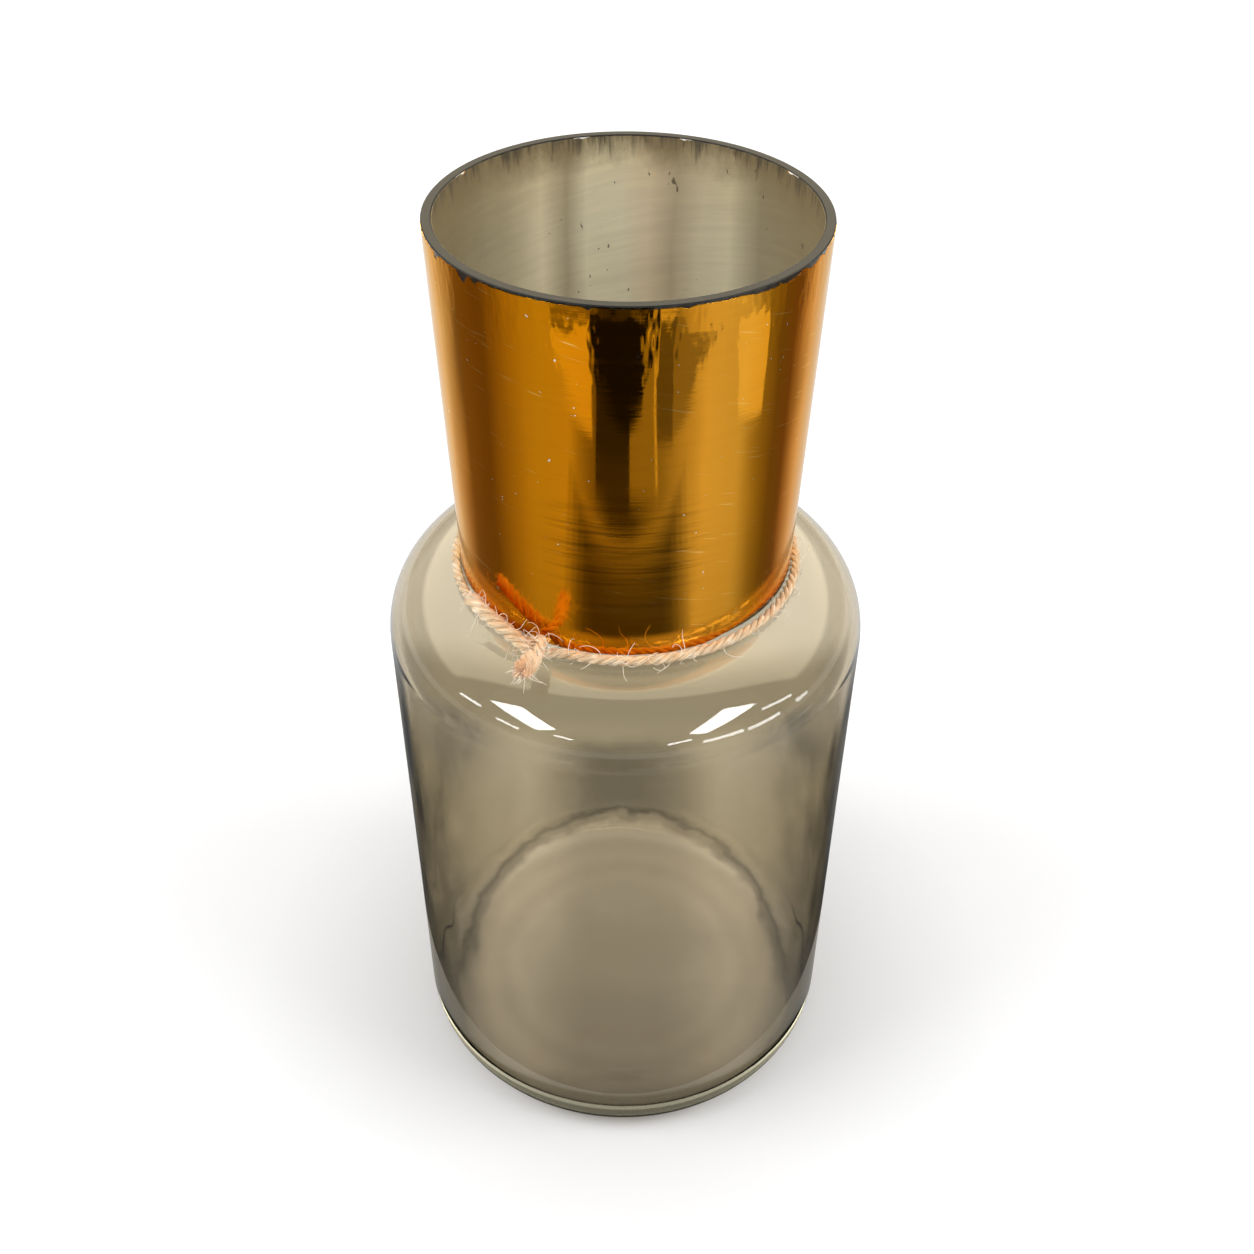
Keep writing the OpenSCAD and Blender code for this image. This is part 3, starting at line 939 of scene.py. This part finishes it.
def through_glass_level(tree, place):
    """Level of the floor as the glass shows it, with the vase's own shade on it."""
    drift = scaled(tree, noise_of(tree, place, 30, 3), 0.030, -0.015)
    x, y, _ = add_node(tree, "ShaderNodeSeparateXYZ", {0: place}).outputs
    across = arithmetic(tree, "ABSOLUTE", x)
    side = arithmetic(tree, "ADD", across, times(tree, drift, 0.6))
    # behind the foot, painted light and shade: bright beside the middle, dark and streaky at the sides
    behind = ramp(tree, times(tree, side, 4.0),
                  (0.0, grey(0.74)), (0.12, grey(0.78)), (0.20, grey(0.83)), (0.225, grey(0.81)),
                  (0.26, grey(0.70)), (0.31, grey(0.43)), (0.40, grey(0.36)), (1.0, grey(0.20)))
    streaky_shade = noise_of(tree, place, 42, 4, size=(1, 0.5, 1))
    streaky_shade = ramp(tree, streaky_shade, (0.36, grey(0.45)), (0.50, grey(1.0)), (0.64, grey(1.5)))
    behind = blend_colour(tree, smooth_step(tree, across, 0.066, 0.078), behind,
                          blend_colour(tree, 1.0, behind, streaky_shade, "MULTIPLY"))
    middle = one_minus(tree, smooth_step(tree, side, 0.008, 0.048))
    far_side = smooth_step(tree, arithmetic(tree, "ADD", y, drift), 0.098, 0.135)
    close = times(tree, smooth_step(tree, y, 0.056, 0.066), one_minus(tree, far_side))
    shade = scaled(tree, times(tree, middle, close), -0.66, 1.0)
    behind = times(tree, behind, shade)
    right = smooth_step(tree, x, 0.060, 0.085)
    behind = times(tree, behind, scaled(tree, right, -0.17, 1.0))
    # under the foot: brown in the middle, paler beside it, darker to the front
    under = ramp(tree, times(tree, side, 10.0),
                 (0.0, grey(0.80)), (0.14, grey(0.82)), (0.22, grey(0.93)), (0.33, grey(1.22)),
                 (0.45, grey(1.36)), (0.58, grey(1.20)), (0.70, grey(0.60)))
    bands = noise_of(tree, place, 150, 2, size=(0.25, 1, 1))
    depth = arithmetic(tree, "ADD", y, scaled(tree, bands, 0.020, -0.010))
    depth = ramp(tree, scaled(tree, depth, 8.0, 0.5),
                 (0.06, grey(0.70)), (0.14, grey(0.86)), (0.26, grey(0.90)), (0.36, grey(0.92)),
                 (0.44, grey(1.02)), (0.60, grey(1.04)), (0.76, grey(1.22)), (0.90, grey(1.32)))
    under = times(tree, under, depth)
    away = length_of(tree, place)
    rings = arithmetic(tree, "SINE", times(tree, away, 520.0))
    rings = times(tree, rings, smooth_step(tree, away, 0.028, 0.044))
    under = times(tree, under, scaled(tree, rings, 0.045, 1.0))
    # painted contact shadow at the edge of the foot, uneven, with a painted pale line of light outside it
    shake = scaled(tree, noise_of(tree, place, 105, 2), 0.13, -0.065)
    around = add_node(tree, "ShaderNodeVectorMath", {0: place, 1: (16.0, 12.7, 0)}, operation="MULTIPLY")
    around = arithmetic(tree, "ADD", length_of(tree, around.outputs[0]), shake)
    level = mix_values(tree, smooth_step(tree, around, 0.97, 1.01), under, behind)
    edge = ramp(tree, times(tree, around, 0.5), (0.445, grey(0.5)), (0.47, grey(0.28)),
                (0.495, grey(0.21)), (0.512, grey(0.52)), (0.530, grey(0.62)), (0.56, grey(0.5)))
    edge = blend_colour(tree, smooth_step(tree, y, -0.020, 0.010), (0.5, 0.5, 0.5, 1), edge)
    level = times(tree, level, times(tree, edge, 2.0))
    # painted shade to the sides of the front
    front = times(tree, smooth_step(tree, away, 0.052, 0.070),
                  one_minus(tree, smooth_step(tree, y, -0.012, 0.022)))
    level = times(tree, level, scaled(tree, front, -0.66, 1.0))
    # seen through the shoulder, and the open floor round it all
    level = mix_values(tree, smooth_step(tree, y, 0.110, 0.140), level, 0.56)
    far = scaled(tree, smooth_step(tree, across, 0.08, 0.16), 0.32, 1.05)
    far = scaled(tree, smooth_step(tree, x, 0.0, 0.06), 0.11, far)
    open_floor = arithmetic(tree, "MAXIMUM", smooth_step(tree, y, 0.157, 0.195),
                            smooth_step(tree, across, 0.145, 0.190))
    open_floor = arithmetic(tree, "MAXIMUM", open_floor,
                            one_minus(tree, smooth_step(tree, y, -0.170, -0.105)))
    return mix_values(tree, open_floor, level, far)


def mirrored_floor(tree, place, away):
    """The floor as mirrors show it: a painted shade close round the vase and behind it, lighter to the
    front and further off, and a painted line of light and shade close to the foot that the heel mirrors.
    """
    _, y, _ = add_node(tree, "ShaderNodeSeparateXYZ", {0: place}).outputs
    level = scaled(tree, smooth_step(tree, y, -0.075, -0.045), -0.40, 0.74)
    level = arithmetic(tree, "MAXIMUM", level, smooth_step(tree, away, 0.12, 0.24))
    # what the heel mirrors: dark, a pale line, and dull under it
    ahead = arithmetic(tree, "MAXIMUM", times(tree, y, -1.0), 0.010)
    slant = arithmetic(tree, "DIVIDE", away, ahead)
    beyond = times(tree, arithmetic(tree, "SUBTRACT", away, BODY_R * MM), slant)
    beyond = scaled(tree, beyond, 50.0, 0.25)
    heel = ramp(tree, beyond, (0.20, grey(0.02)), (0.30, grey(0.26)), (0.45, grey(0.33)),
                (0.61, grey(0.38)), (0.65, grey(1.0)), (0.70, grey(0.95)), (0.72, grey(0.0)),
                (0.90, grey(0.02)), (1.0, grey(0.185)))
    near_heel = times(tree, one_minus(tree, smooth_step(tree, beyond, 0.90, 1.0)),
                      one_minus(tree, smooth_step(tree, y, -0.025, -0.012)))
    level = mix_values(tree, near_heel, level, times(tree, heel, 3.4))
    hue = blend_colour(tree, near_heel, (1.0, 0.96, 0.85, 1), (1.0, 0.94, 0.67, 1))
    return add_node(tree, "ShaderNodeEmission", {0: hue, 1: level}).outputs[0]


def white_world():
    """A white room for the camera and through the glass, and a warm one for mirrors."""
    world = bpy.data.worlds.new("studio")
    bpy.context.scene.world = world
    world.use_nodes = True
    tree = world.node_tree
    tree.nodes.clear()
    out = tree.nodes.new("ShaderNodeOutputWorld")
    path = add_node(tree, "ShaderNodeLightPath").outputs
    aim = add_node(tree, "ShaderNodeTexCoord").outputs["Generated"]
    _, y, z = add_node(tree, "ShaderNodeSeparateXYZ", {0: aim}).outputs
    over = smooth_step(tree, scaled(tree, z, 0.21, y), -0.03, 0.05)
    over = times(tree, over, smooth_step(tree, z, 0.30, 0.42))
    mirrored = scaled(tree, over, 3.4, 0.40)
    seen = arithmetic(tree, "ADD", path["Is Camera Ray"], path["Is Transmission Ray"], clamp=True)
    lit = add_node(tree, "ShaderNodeBackground", {0: (1, 1, 1, 1), 1: 0.70}).outputs[0]
    white = add_node(tree, "ShaderNodeBackground", {0: (1, 1, 1, 1), 1: 1.0}).outputs[0]
    warm = add_node(tree, "ShaderNodeBackground", {0: (1.0, 0.86, 0.60, 1), 1: mirrored}).outputs[0]
    both = mix_shaders(tree, path["Is Glossy Ray"], lit, warm)
    both = mix_shaders(tree, seen, both, white)
    tree.links.new(both, out.inputs["Surface"])


def floor():
    """A pale floor that looks different to the camera, to mirrors and through the glass."""
    deselect()
    bpy.ops.mesh.primitive_circle_add(vertices=96, radius=FLOOR_R, fill_type="NGON")
    piece = bpy.context.object
    piece.name = "floor"
    for corner in piece.data.vertices:
        corner.co.z = FLOOR_Z
    material, tree, out, place = new_material("floor")
    path = add_node(tree, "ShaderNodeLightPath").outputs
    paint = add_node(tree, "ShaderNodeBsdfDiffuse", {0: (0.84, 0.84, 0.845, 1)})
    away = length_of(tree, place)
    # painted light: the floor glows for the camera, weakest next to the vase, so the shadow round it is
    # partly real and partly painted
    painted_glow = ramp(tree, away, (0.08, grey(0.03)), (0.14, grey(0.165)), (0.24, grey(0.235)),
                (0.60, grey(0.26)), (1.0, grey(0.34)))
    painted_glow = add_node(tree, "ShaderNodeEmission", {
        0: (1, 1, 1, 1), 1: times(tree, path["Is Camera Ray"], painted_glow)})
    seen = add_node(tree, "ShaderNodeAddShader", {0: paint.outputs[0], 1: painted_glow.outputs[0]}).outputs[0]
    tint = blend_colour(tree, smooth_step(tree, away, 0.060, 0.080), (0.97, 1, 1.05, 1),
                        (1.0, 0.945, 0.76, 1))
    tint = blend_colour(tree, smooth_step(tree, away, 0.17, 0.23), tint, (1.04, 1.05, 1.05, 1))
    clear = add_node(tree, "ShaderNodeEmission", {
        0: tint, 1: through_glass_level(tree, place)}).outputs[0]
    both = mix_shaders(tree, path["Is Glossy Ray"], seen, mirrored_floor(tree, place, away))
    both = mix_shaders(tree, path["Is Transmission Ray"], both, clear)
    tree.links.new(both, out.inputs["Surface"])
    piece.data.materials.append(material)


def soft_lamps():
    for turn in LAMP_TURNS:
        lamp = bpy.data.lights.new("soft_lamp", "AREA")
        lamp.shape = "RECTANGLE"
        lamp.size, lamp.size_y = LAMP_SIZE
        lamp.energy = LAMP_POWER
        holder = bpy.data.objects.new("soft_lamp", lamp)
        bpy.context.scene.collection.objects.link(holder)
        way = direction(turn, LAMP_RISE)
        holder.location = way * LAMP_REACH
        holder.rotation_mode = "QUATERNION"
        holder.rotation_quaternion = way.to_track_quat("Z", "Y")
        holder.visible_glossy = False
        holder.visible_transmission = False


def studio():
    white_world()
    floor()
    soft_lamps()
    reflection_ring()
    mirrored_cards()
    light_panels()


add_camera()
glass_vessel()
neck_coating()
jute_cord()
studio()
bpy.context.scene.view_settings.view_transform = "Standard"
